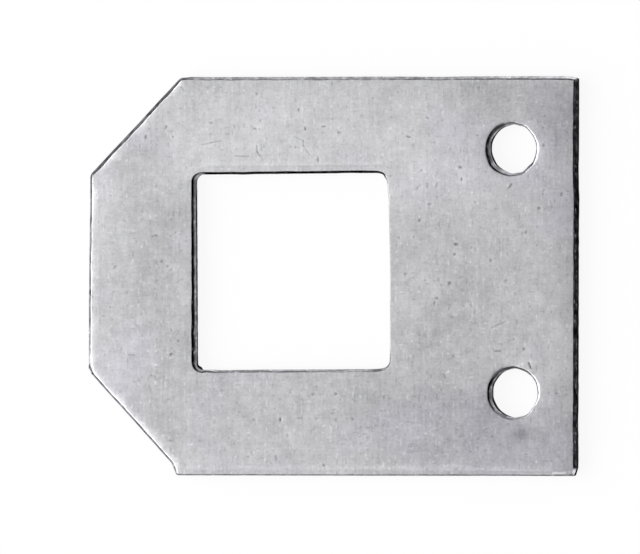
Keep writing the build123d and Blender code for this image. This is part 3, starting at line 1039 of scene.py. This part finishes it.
def fill_face(borders, inside_points):
    """Triangles between closed borders and over loose points. The borders' points come first."""
    flat = [Vector(p) for border in borders for p in border]
    links = []
    start = 0
    for border in borders:
        links += [(start + k, start + (k + 1) % len(border)) for k in range(len(border))]
        start += len(border)
    flat += [Vector(p) for p in inside_points]
    made = geometry.delaunay_2d_cdt(flat, links, [], 0, FILL_JOINS, True)
    points, joined, triangles, came_from, links_kept = made[:5]
    walls = {frozenset(joined[k]) for k, sources in enumerate(links_kept) if sources}
    beside = {}
    for t, triangle in enumerate(triangles):
        for k in range(3):
            beside.setdefault(frozenset((triangle[k], triangle[k - 1])), []).append(t)
    loose = {k for k, sources in enumerate(came_from) if sources and min(sources) >= start}
    waiting = [t for t, triangle in enumerate(triangles) if loose.intersection(triangle)]
    inside = set(waiting)
    while waiting:
        triangle = triangles[waiting.pop()]
        for k in range(3):
            link = frozenset((triangle[k], triangle[k - 1]))
            for t in beside[link]:
                if link not in walls and t not in inside:
                    inside.add(t)
                    waiting.append(t)
    return points, [tuple(triangles[t]) for t in sorted(inside)], came_from


print("the fill joins points closer than", FILL_JOINS, "mm")

# %% [markdown]
# Joining the skin
#
# The rings, the front face and the rear face share their border points, so they are put into one list of
# points and one list of faces. Each face remembers its finish: the sheet's own skin, the smooth land or
# the rough break.

# %% Build the rings and the two faces
NO_TONE = 0.5

vertices = []
vertex_tones = []
faces = []
finishes = []
front_borders = []
rear_borders = []
for seed, (name, edge) in enumerate(edges.items()):
    rings, tones, bands = edge_rings(name, edge, seed * 100)
    count = len(edge["points"])
    first = len(vertices)
    for points, tone in zip(rings, tones):
        vertices += [tuple(p) for p in points]
        vertex_tones += list(tone)
    for r, band in enumerate(bands):
        for k in range(count):
            a = first + r * count + k
            b = first + r * count + (k + 1) % count
            faces.append((a, b, b + count, a + count))
            finishes.append(band)
    front_borders.append((first, rings[0][:, :2]))
    rear_borders.append((first + (len(rings) - 1) * count, rings[-1][:, :2]))


def add_face(borders, inside_points, height_of, flip, finish):
    """Adds one filled face to the skin, using the borders' own points."""
    points, triangles, came_from = fill_face([b[1] for b in borders], inside_points)
    border_ids = []
    for first, border in borders:
        border_ids += list(range(first, first + len(border)))
    number = {}
    for k, sources in enumerate(came_from):
        on_border = [s for s in sources if s < len(border_ids)]
        if on_border:
            number[k] = border_ids[on_border[0]]
    for triangle in triangles:
        corners = []
        for v in triangle:
            if v not in number:
                number[v] = len(vertices)
                vertices.append((points[v].x, points[v].y, height_of(points[v].x, points[v].y)))
                vertex_tones.append(NO_TONE)
            corners.append(number[v])
        faces.append(tuple(reversed(corners)) if flip else tuple(corners))
        finishes.append(finish)
    return len(triangles)


front_count = add_face(front_borders, face_points, face_height, False, FACE)
rear_count = add_face(rear_borders, rear_points, lambda x, y: BURR_HEIGHT, True, FACE)
print("front triangles", front_count, "rear triangles", rear_count, "faces in all", len(faces))

# %% [markdown]
# Marks, film and oil on the points
#
# The marks now press the front's points down. What can't be pressed is kept beside each point as a
# number that the finish reads: the tone of the cut steel with its painted highlight and shade, the light
# that the marks and the painted rim streaks leave, the film with the painted shade of the face, and the
# oil. An image would need unwrapping, and it would be blurred at the edge.

# %% The mesh and what its points carry
FRONT_REACHES_DOWN = 0.5

spots = np.array(vertices)
light_left, pressed = press_marks(spots[:, 0], spots[:, 1])
on_front = spots[:, 2] > sheet - FRONT_REACHES_DOWN
spots[:, 2] -= np.where(on_front, pressed, 0)
carried = {
    "edge_tone_and_painted_light": vertex_tones,
    "marks_and_painted_light": np.where(on_front, light_left, 1.0),
    "film_and_shade": np.where(on_front, clouds_at(FILM_AND_SHADE_CLOUDS, spots[:, 0], spots[:, 1]), 0.0),
    "oil": np.where(on_front, clouds_at(OIL_CLOUDS, spots[:, 0], spots[:, 1]), 0.0),
}

skin = bpy.data.meshes.new("pressed_plate")
skin.from_pydata([(x * MM, y * MM, z * MM) for x, y, z in spots], [], faces)
skin.polygons.foreach_set("material_index", finishes)
for name, values in carried.items():
    skin.attributes.new(name, "FLOAT", "POINT").data.foreach_set("value", values)
skin.update()
pressed_plate = bpy.data.objects.new("pressed_plate", skin)
bpy.context.scene.collection.objects.link(pressed_plate)
print("points", len(skin.vertices), "each with", ", ".join(carried))

# %% [markdown]
# One closed skin
#
# All faces are turned to look out of the steel, and the skin is shaded smoothly except where it folds
# sharply, as at the edge of the land. An open edge would be a gap, so they are counted. The finished skin
# then takes the place of the plain plate.

# %% Face everything outwards and shade it smoothly
SHARP_FROM = math.radians(50)

working = bmesh.new()
working.from_mesh(skin)
bmesh.ops.recalc_face_normals(working, faces=working.faces)
open_edges = [e for e in working.edges if not e.is_manifold]
working.to_mesh(skin)
working.free()
skin.polygons.foreach_set("use_smooth", [True] * len(skin.polygons))
skin.set_sharp_from_angle(angle=SHARP_FROM)
skin.update()
print("open edges:", len(open_edges), "triangles:", sum(len(p.vertices) - 2 for p in skin.polygons))

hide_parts("plate")
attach(pressed_plate, "root")

# %% [markdown]
# Colours and nodes
#
# Colours are written as the hex values that a picture program shows, and one function turns them into
# the linear values that Blender works in. A second small function adds a node with its settings and links.

# %% Helpers for materials


def linear(hex_colour):
    """A hex colour as linear red, green, blue and full alpha."""
    parts = [int(hex_colour[k:k + 2], 16) / 255 for k in (1, 3, 5)]
    return [p / 12.92 if p <= 0.04045 else ((p + 0.055) / 1.055) ** 2.4 for p in parts] + [1.0]


def add_node(owner, kind, settings=None, inputs=None):
    """Adds a node to a material or world, sets its settings, and sets or links each of its inputs."""
    node = owner.node_tree.nodes.new(kind)
    for key, value in (settings or {}).items():
        setattr(node, key, value)
    for key, value in (inputs or {}).items():
        if isinstance(value, bpy.types.NodeSocket):
            owner.node_tree.links.new(value, node.inputs[key])
        else:
            node.inputs[key].default_value = value
    return node


def new_material(name):
    """An empty node material."""
    material = bpy.data.materials.new(name)
    material.use_nodes = True
    material.node_tree.nodes.clear()
    return material


def finish_material(material, shader):
    """Joins the shader to the material's output and says how large the material is."""
    add_node(material, "ShaderNodeOutputMaterial", None, {"Surface": shader.outputs[0]})
    print(material.name, "has", len(material.node_tree.nodes), "nodes")


print("white as a linear value:", linear("#FFFFFF")[:3])

# %% [markdown]
# Mill-finished steel: its patterns
#
# The sheet is bright cold-rolled steel. The rolls leave a dull satin skin with a fine grain, and tumbling
# and handling add clouds, mottle and pits. Each of these is one noise at its real size in millimetres.
# A photographed texture would bring its own light with it, so the patterns are worked out instead.

# %% Clouds, mottle, grain and brush lines
CLOUD_MM = 6.0
MOTTLE_WIDTH_MM = 1.1
LINE_WIDTH_MM = 0.25
LINE_LENGTH_MM = 2.4
# The sheet's own grain is far under 0.1 mm, too fine to show, so it is drawn coarser
GRAIN_MM = 0.24

mill_steel = new_material("mill_finished_steel")
object_place = add_node(mill_steel, "ShaderNodeTexCoord")
in_mm = add_node(mill_steel, "ShaderNodeVectorMath", {"operation": "SCALE"},
                 {"Vector": object_place.outputs["Object"], "Scale": 1 / MM}).outputs["Vector"]

# Clouds of film, and the mottle of tumbling
cloud = add_node(mill_steel, "ShaderNodeTexNoise", None,
                 {"Vector": in_mm, "Scale": 1 / CLOUD_MM, "Detail": 3.0, "Roughness": 0.55})
mottle = add_node(mill_steel, "ShaderNodeTexNoise", None,
                  {"Vector": in_mm, "Scale": 1 / MOTTLE_WIDTH_MM, "Detail": 4.0, "Roughness": 0.6})
grain = add_node(mill_steel, "ShaderNodeTexNoise", None,
                 {"Vector": in_mm, "Scale": 1 / GRAIN_MM, "Detail": 2.0, "Roughness": 0.6})

# Faint brush lines from the rolls, up the plate, and fainter ones along it
stretch_up = add_node(mill_steel, "ShaderNodeMapping", None,
                      {"Vector": in_mm, "Scale": (1 / LINE_WIDTH_MM, 1 / LINE_LENGTH_MM, 1)})
lines_up = add_node(mill_steel, "ShaderNodeTexNoise", None,
                    {"Vector": stretch_up.outputs["Vector"], "Scale": 1.0, "Detail": 2.0})
stretch_along = add_node(mill_steel, "ShaderNodeMapping", None,
                         {"Vector": in_mm, "Scale": (1 / LINE_LENGTH_MM, 1 / LINE_WIDTH_MM, 1)})
lines_along = add_node(mill_steel, "ShaderNodeTexNoise", None,
                       {"Vector": stretch_along.outputs["Vector"], "Scale": 1.0, "Detail": 2.0})
print("mill-finished steel: clouds", CLOUD_MM, "mottle", MOTTLE_WIDTH_MM, "grain", GRAIN_MM, "mm wide")

# %% [markdown]
# Mill-finished steel: strokes and dots
#
# Tumbled steel is also covered in small knocks, too many to place one by one. A Voronoi texture gives one
# cell to each, and every cell draws one soft stroke whose strength is its own lot. More noise would only
# blur, where these have a shape.

# %% Strokes and dots from cells
SHIFT_UP = 0.7
CRUMB_BALANCE = 0.50
CRUMB_CORE = 0.35


def crumbs(material, cell, size, shift):
    """One small stroke to a cell, in mm: 0.5 where there is none, and lighter or darker on the stroke."""
    spread = add_node(material, "ShaderNodeMapping", None,
                      {"Vector": in_mm, "Location": (shift, SHIFT_UP * shift, 0.0),
                       "Scale": (1 / cell[0], 1 / cell[1], 0)})
    cells = add_node(material, "ShaderNodeTexVoronoi", {"voronoi_dimensions": "2D"},
                     {"Vector": spread.outputs["Vector"], "Scale": 1.0})
    middle = add_node(material, "ShaderNodeVectorMath", {"operation": "SUBTRACT"},
                      {0: spread.outputs["Vector"], 1: cells.outputs["Position"]})
    shaped = add_node(material, "ShaderNodeVectorMath", {"operation": "MULTIPLY"},
                      {0: middle.outputs["Vector"], 1: (cell[0] / size[0], cell[1] / size[1], 0)})
    away = add_node(material, "ShaderNodeVectorMath", {"operation": "LENGTH"}, {0: shaped.outputs["Vector"]})
    near = add_node(material, "ShaderNodeMapRange", {"interpolation_type": "SMOOTHSTEP"},
                    {"Value": away.outputs["Value"], "From Min": CRUMB_CORE, "From Max": 1.0,
                     "To Min": 1.0, "To Max": 0.0})
    lot = add_node(material, "ShaderNodeSeparateColor", None, {"Color": cells.outputs["Color"]})
    lot = add_node(material, "ShaderNodeMath", {"operation": "SUBTRACT"},
                   {0: lot.outputs["Red"], 1: CRUMB_BALANCE})
    strength = add_node(material, "ShaderNodeMath", {"operation": "ABSOLUTE"}, {0: lot.outputs[0]})
    lot = add_node(material, "ShaderNodeMath", {"operation": "MULTIPLY"},
                   {0: lot.outputs[0], 1: strength.outputs[0]})
    lot = add_node(material, "ShaderNodeMath", {"operation": "MULTIPLY"},
                   {0: lot.outputs[0], 1: near.outputs["Result"]})
    return add_node(material, "ShaderNodeMath", {"operation": "MULTIPLY_ADD"},
                    {0: lot.outputs[0], 1: 2.0, 2: 0.5}).outputs[0]


strokes_up = crumbs(mill_steel, cell=(0.60, 1.10), size=(0.11, 0.42), shift=3.0)
strokes_along = crumbs(mill_steel, cell=(1.20, 0.80), size=(0.40, 0.12), shift=17.0)
dots = crumbs(mill_steel, cell=(0.75, 0.75), size=(0.19, 0.19), shift=41.0)
print("mill-finished steel: strokes and dots added, nodes so far", len(mill_steel.node_tree.nodes))

# %% [markdown]
# Mill-finished steel: how bright
#
# A metal has no colour of its own beneath its shine, so the tone comes from the base colour. The patterns
# are added up by weight, the clouds of film and painted shade are taken off, and the marks, with painted
# rim highlight and shade among them, dim or lighten what is left.

# %% Brightness of the steel


def weighted_sum(material, parts):
    """The sum of values between 0 and 1, each less its middle value and times a weight."""
    total = None
    for value, weight in parts:
        part = add_node(material, "ShaderNodeMath", {"operation": "MULTIPLY_ADD"},
                        {0: value, 1: weight, 2: -0.5 * weight})
        if total is not None:
            part = add_node(material, "ShaderNodeMath", {"operation": "ADD"}, {0: total, 1: part.outputs[0]})
        total = part.outputs[0]
    return total


tone_shift = weighted_sum(mill_steel, [
    (cloud.outputs["Fac"], 0.36), (mottle.outputs["Fac"], 0.45), (grain.outputs["Fac"], 0.40),
    (lines_up.outputs["Fac"], 0.21), (lines_along.outputs["Fac"], 0.13),
    (strokes_up, 0.39), (strokes_along, 0.29), (dots, 0.38)])
brightness = add_node(mill_steel, "ShaderNodeMath", {"operation": "ADD"}, {0: tone_shift, 1: 1.0})
# Film, and clouds of painted shade and painted light on the face
film_and_shade_node = add_node(mill_steel, "ShaderNodeAttribute", {"attribute_name": "film_and_shade"})
brightness = add_node(mill_steel, "ShaderNodeMath", {"operation": "SUBTRACT"},
                      {0: brightness.outputs[0], 1: film_and_shade_node.outputs["Fac"]})
# Marks, with painted rim highlight and shade among them
marks_and_painted_light_node = add_node(mill_steel, "ShaderNodeAttribute", {"attribute_name": "marks_and_painted_light"})
brightness = add_node(mill_steel, "ShaderNodeMath", {"operation": "MULTIPLY"},
                      {0: brightness.outputs[0], 1: marks_and_painted_light_node.outputs["Fac"]})
print("mill-finished steel: brightness is worked out, nodes so far", len(mill_steel.node_tree.nodes))

# %% [markdown]
# Mill-finished steel: its colour
#
# Clean steel is a hair bluer than grey. Where old oil lies on it, the film splits the light and tints it
# a little violet, in the clouds that were placed above and in some that a noise adds.

# %% Steel grey and oil tint
CLEAN_STEEL = "#CBCBCD"
OILED_STEEL = "#CAC8D1"
TINT_CLOUD_MM = 7.0
TINT_STARTS_AT = 0.45

tint_place = add_node(mill_steel, "ShaderNodeMapping", None, {"Vector": in_mm, "Location": (31.0, 7.0, 0.0)})
tint_cloud = add_node(mill_steel, "ShaderNodeTexNoise", None,
                      {"Vector": tint_place.outputs["Vector"], "Scale": 1 / TINT_CLOUD_MM, "Detail": 2.0})
oil_node = add_node(mill_steel, "ShaderNodeAttribute", {"attribute_name": "oil"})
tint_share = add_node(mill_steel, "ShaderNodeMath", {"operation": "ADD"},
                      {0: oil_node.outputs["Fac"], 1: tint_cloud.outputs["Fac"]})
tint = add_node(mill_steel, "ShaderNodeValToRGB", None, {"Fac": tint_share.outputs[0]})
clean_stop, oiled_stop = tint.color_ramp.elements
clean_stop.position = TINT_STARTS_AT
clean_stop.color = linear(CLEAN_STEEL)
oiled_stop.position = 1.0
oiled_stop.color = linear(OILED_STEEL)
steel_colour = add_node(mill_steel, "ShaderNodeVectorMath", {"operation": "SCALE"},
                        {"Vector": tint.outputs["Color"], "Scale": brightness.outputs[0]})
print("clean steel", CLEAN_STEEL, "and under oil", OILED_STEEL)

# %% [markdown]
# Mill-finished steel: relief and blur
#
# The same grain roughens the surface by a few thousandths of a millimetre, so a low bump breaks up the
# shine. Cold-rolled steel blurs what it mirrors with a roughness of about 0.3, and a little more where it
# is mottled. The mesh could carry the grain too, but it would take millions of points.

# %% Relief, blur and the finished steel
GRAIN_RELIEF_MM = 0.004
SMOOTHEST = 0.30
MOTTLE_BLUR = 0.10

relief = weighted_sum(mill_steel, [
    (mottle.outputs["Fac"], 0.7), (grain.outputs["Fac"], 0.4), (lines_up.outputs["Fac"], 0.2),
    (strokes_up, 0.7), (strokes_along, 0.5), (dots, 0.8)])
bump = add_node(mill_steel, "ShaderNodeBump", None,
                {"Strength": 1.0, "Distance": GRAIN_RELIEF_MM * MM, "Height": relief})
rough = add_node(mill_steel, "ShaderNodeMath", {"operation": "MULTIPLY_ADD"},
                 {0: mottle.outputs["Fac"], 1: MOTTLE_BLUR, 2: SMOOTHEST})
shader = add_node(mill_steel, "ShaderNodeBsdfPrincipled", None,
                  {"Base Color": steel_colour.outputs["Vector"], "Metallic": 1.0,
                   "Roughness": rough.outputs[0], "Normal": bump.outputs["Normal"]})
finish_material(mill_steel, shader)

# %% [markdown]
# Burnished ramp and land
#
# Where the punch has rubbed past, the steel is smooth and shiny in fine lines that run through the sheet.
# Its tone comes from the edge itself, point by point: partly the steel's own burnish, and partly painted
# highlight and painted shade by the side the edge faces. Oil and oxide leave the dark parts a little blue.

# %% Burnished land
EDGE_TINT = (1.0, 0.985, 1.04)
EDGE_OIL = (0.0006, 0.0004, 0.0020)
RUB_LINE_MM = 0.16
RUB_LENGTH_MM = 1.4
LAND_BLUR = 0.32


def edge_colour(material, variation):
    """The tone that the edge's points carry, with its painted highlight and shade, varied a little, with the
    tint of oil and oxide.
    """
    edge_tone_and_painted_light = add_node(material, "ShaderNodeAttribute", {"attribute_name": "edge_tone_and_painted_light"})
    share = add_node(material, "ShaderNodeMath", {"operation": "ADD"}, {0: variation, 1: 1.0})
    toned = add_node(material, "ShaderNodeVectorMath", {"operation": "SCALE"},
                     {"Vector": edge_tone_and_painted_light.outputs["Color"], "Scale": share.outputs[0]})
    return add_node(material, "ShaderNodeVectorMath", {"operation": "MULTIPLY_ADD"},
                    {0: toned.outputs["Vector"], 1: EDGE_TINT, 2: EDGE_OIL}).outputs["Vector"]


land_steel = new_material("burnished_land")
object_place = add_node(land_steel, "ShaderNodeTexCoord")
through_sheet = (1 / (RUB_LINE_MM * MM), 1 / (RUB_LINE_MM * MM), 1 / (RUB_LENGTH_MM * MM))
through = add_node(land_steel, "ShaderNodeMapping", None,
                   {"Vector": object_place.outputs["Object"], "Scale": through_sheet})
rub_lines = add_node(land_steel, "ShaderNodeTexNoise", None,
                     {"Vector": through.outputs["Vector"], "Scale": 1.0, "Detail": 3.0})
land_colour = edge_colour(land_steel, weighted_sum(land_steel, [(rub_lines.outputs["Fac"], 1.0)]))
shader = add_node(land_steel, "ShaderNodeBsdfPrincipled", None,
                  {"Base Color": land_colour, "Specular Tint": land_colour, "Metallic": 1.0,
                   "Roughness": LAND_BLUR})
finish_material(land_steel, shader)

# %% [markdown]
# The broken edge
#
# The rear part of the edge cracked off. It is dull and dark, with a crumbled relief about 0.1 mm wide and
# a few bright specks where a grain of steel has flaked.

# %% Broken edge
CRUMBLE_MM = 0.14
CRUMBLE_RELIEF_MM = 0.03
BREAK_BLUR = 0.6

break_steel = new_material("broken_edge")
object_place = add_node(break_steel, "ShaderNodeTexCoord")
crumble = add_node(break_steel, "ShaderNodeTexNoise", None,
                   {"Vector": object_place.outputs["Object"], "Scale": 1 / (CRUMBLE_MM * MM),
                    "Detail": 3.0, "Roughness": 0.6})
# The break's grey also carries the painted highlight and shade of the side that it faces
break_colour = edge_colour(break_steel, weighted_sum(break_steel, [(crumble.outputs["Fac"], 2.0)]))
bump = add_node(break_steel, "ShaderNodeBump", None,
                {"Strength": 1.0, "Distance": CRUMBLE_RELIEF_MM * MM, "Height": crumble.outputs["Fac"]})
shader = add_node(break_steel, "ShaderNodeBsdfPrincipled", None,
                  {"Base Color": break_colour, "Specular Tint": break_colour, "Metallic": 1.0,
                   "Roughness": BREAK_BLUR, "Normal": bump.outputs["Normal"]})
finish_material(break_steel, shader)

for material in (mill_steel, land_steel, break_steel):
    skin.materials.append(material)
print("finishes on the plate:", [material.name for material in skin.materials])

# %% [markdown]
# The table
#
# The plate lies on plain white paper. To the camera, and in what the metal mirrors, the paper glows
# evenly, so that it looks white without any more light on the steel. The small matt share that is left
# keeps the plate's shadow.

# %% White paper under the plate
TABLE_HALF = 3.0
GLOW_SHARE = 0.92

corners = [(-TABLE_HALF, -TABLE_HALF, 0), (TABLE_HALF, -TABLE_HALF, 0),
           (TABLE_HALF, TABLE_HALF, 0), (-TABLE_HALF, TABLE_HALF, 0)]
floor_mesh = bpy.data.meshes.new("table_top")
floor_mesh.from_pydata(corners, [], [(0, 1, 2, 3)])
table_top = bpy.data.objects.new("table_top", floor_mesh)
bpy.context.scene.collection.objects.link(table_top)

paper = new_material("white_paper")
matt = add_node(paper, "ShaderNodeBsdfDiffuse", None, {"Color": linear("#FAFAFA")})
glow = add_node(paper, "ShaderNodeEmission", None, {"Color": (1, 1, 1, 1), "Strength": 1.0})
rays = add_node(paper, "ShaderNodeLightPath")
seen = add_node(paper, "ShaderNodeMath", {"operation": "MAXIMUM"},
                {0: rays.outputs["Is Camera Ray"], 1: rays.outputs["Is Glossy Ray"]})
seen = add_node(paper, "ShaderNodeMath", {"operation": "MAXIMUM"},
                {0: seen.outputs[0], 1: rays.outputs["Is Transmission Ray"]})
share = add_node(paper, "ShaderNodeMath", {"operation": "MULTIPLY"}, {0: seen.outputs[0], 1: GLOW_SHARE})
mixed = add_node(paper, "ShaderNodeMixShader", None,
                 {0: share.outputs[0], 1: matt.outputs["BSDF"], 2: glow.outputs["Emission"]})
finish_material(paper, mixed)
floor_mesh.materials.append(paper)

# %% [markdown]
# The sky
#
# Bare metal shows what it mirrors and nothing else. The sky overhead is left dark, so that the rims that
# face right turn nearly black, which tells the roll from the flat. Near the horizon it is pale, as a
# paper sweep is, or the plate would be black from low down. Both are one smooth change with height.

# %% A sky that is dark overhead and pale near the horizon
HIGH_SKY = 0.08
LOW_SKY = 0.78
SWEEP_ENDS_AT = 0.28
DARK_STARTS_AT = 0.64

world = bpy.data.worlds.new("studio")
world.use_nodes = True
sky = world.node_tree.nodes["Background"]
way_up = add_node(world, "ShaderNodeSeparateXYZ", None,
                  {"Vector": add_node(world, "ShaderNodeTexCoord").outputs["Generated"]})
fall = add_node(world, "ShaderNodeMapRange", {"interpolation_type": "SMOOTHSTEP"},
                {"Value": way_up.outputs["Z"], "From Min": SWEEP_ENDS_AT, "From Max": DARK_STARTS_AT,
                 "To Min": LOW_SKY, "To Max": HIGH_SKY})
sky.inputs["Color"].default_value = (1, 1, 1, 1)
world.node_tree.links.new(fall.outputs["Result"], sky.inputs["Strength"])
bpy.context.scene.world = world
print("sky strength:", LOW_SKY, "at the horizon and", HIGH_SKY, "overhead")

# %% [markdown]
# The lamps
#
# One broad soft lamp stands low on the left and lights the rims that face it. A dimmer panel overhead is
# what the flat face mirrors towards the camera, so it sets the grey of the sheet. A sun lamp would make
# hard glints, because a bare metal mirrors the shape of its light.

# %% Soft lamps


def softbox(name, azimuth, lean, distance, width, height, radiance):
    """A soft rectangular lamp: compass angle from +X, lean from overhead, and the brightness of its face."""
    data = bpy.data.lights.new(name, "AREA")
    data.shape = "RECTANGLE"
    data.size = width
    data.size_y = height
    data.energy = radiance * math.pi * width * height
    lamp = bpy.data.objects.new(name, data)
    way = Vector((math.cos(math.radians(azimuth)) * math.sin(math.radians(lean)),
                  math.sin(math.radians(azimuth)) * math.sin(math.radians(lean)),
                  math.cos(math.radians(lean))))
    lamp.location = way * distance
    lamp.rotation_mode = "QUATERNION"
    lamp.rotation_quaternion = way.to_track_quat("Z", "Y")
    lamp.visible_camera = False
    bpy.context.scene.collection.objects.link(lamp)
    print(name, "gives", round(data.energy, 2), "W")


softbox("key_softbox", azimuth=187, lean=57, distance=0.9, width=1.5, height=0.7, radiance=4.8)
softbox("overhead_panel", azimuth=170, lean=17, distance=1.0, width=1.2, height=0.55, radiance=0.765)

# %% [markdown]
# The camera
#
# The plate is seen from nearly straight above through a very long lens, from a little to the right, which
# shows a sliver of each wall that faces right. The lens follows from how many pixels a millimetre takes.

# %% Camera
PICTURE_WIDTH = 640
PIXELS_PER_MM = 9.974
CAMERA_DISTANCE = 1.8
LEAN_RIGHT = math.radians(12.0)
LEAN_UP = math.radians(-0.72)
CAMERA_ROLL = math.radians(0.124)
AIM_X = -1.165
AIM_Y = -0.09

camera_data = bpy.data.cameras.new("camera")
camera = bpy.data.objects.new("camera", camera_data)
bpy.context.scene.collection.objects.link(camera)
camera_data.sensor_width = 36.0
camera_data.lens = PIXELS_PER_MM * CAMERA_DISTANCE / MM * camera_data.sensor_width / PICTURE_WIDTH
camera_data.clip_end = 10.0
aim = Vector((AIM_X * MM, AIM_Y * MM, sheet * MM))
back = Vector((math.tan(LEAN_RIGHT), math.tan(LEAN_UP), 1)).normalized()
camera.location = aim + back * CAMERA_DISTANCE
up = (Vector((0, 1, 0)) - back * back.y).normalized()
up = Matrix.Rotation(CAMERA_ROLL, 3, back) @ up
camera.rotation_mode = "QUATERNION"
camera.rotation_quaternion = Matrix((up.cross(back), up, back)).transposed().to_quaternion()
bpy.context.scene.camera = camera
bpy.context.scene.view_settings.view_transform = "Standard"
print("lens", round(camera_data.lens), "mm at", CAMERA_DISTANCE, "m")
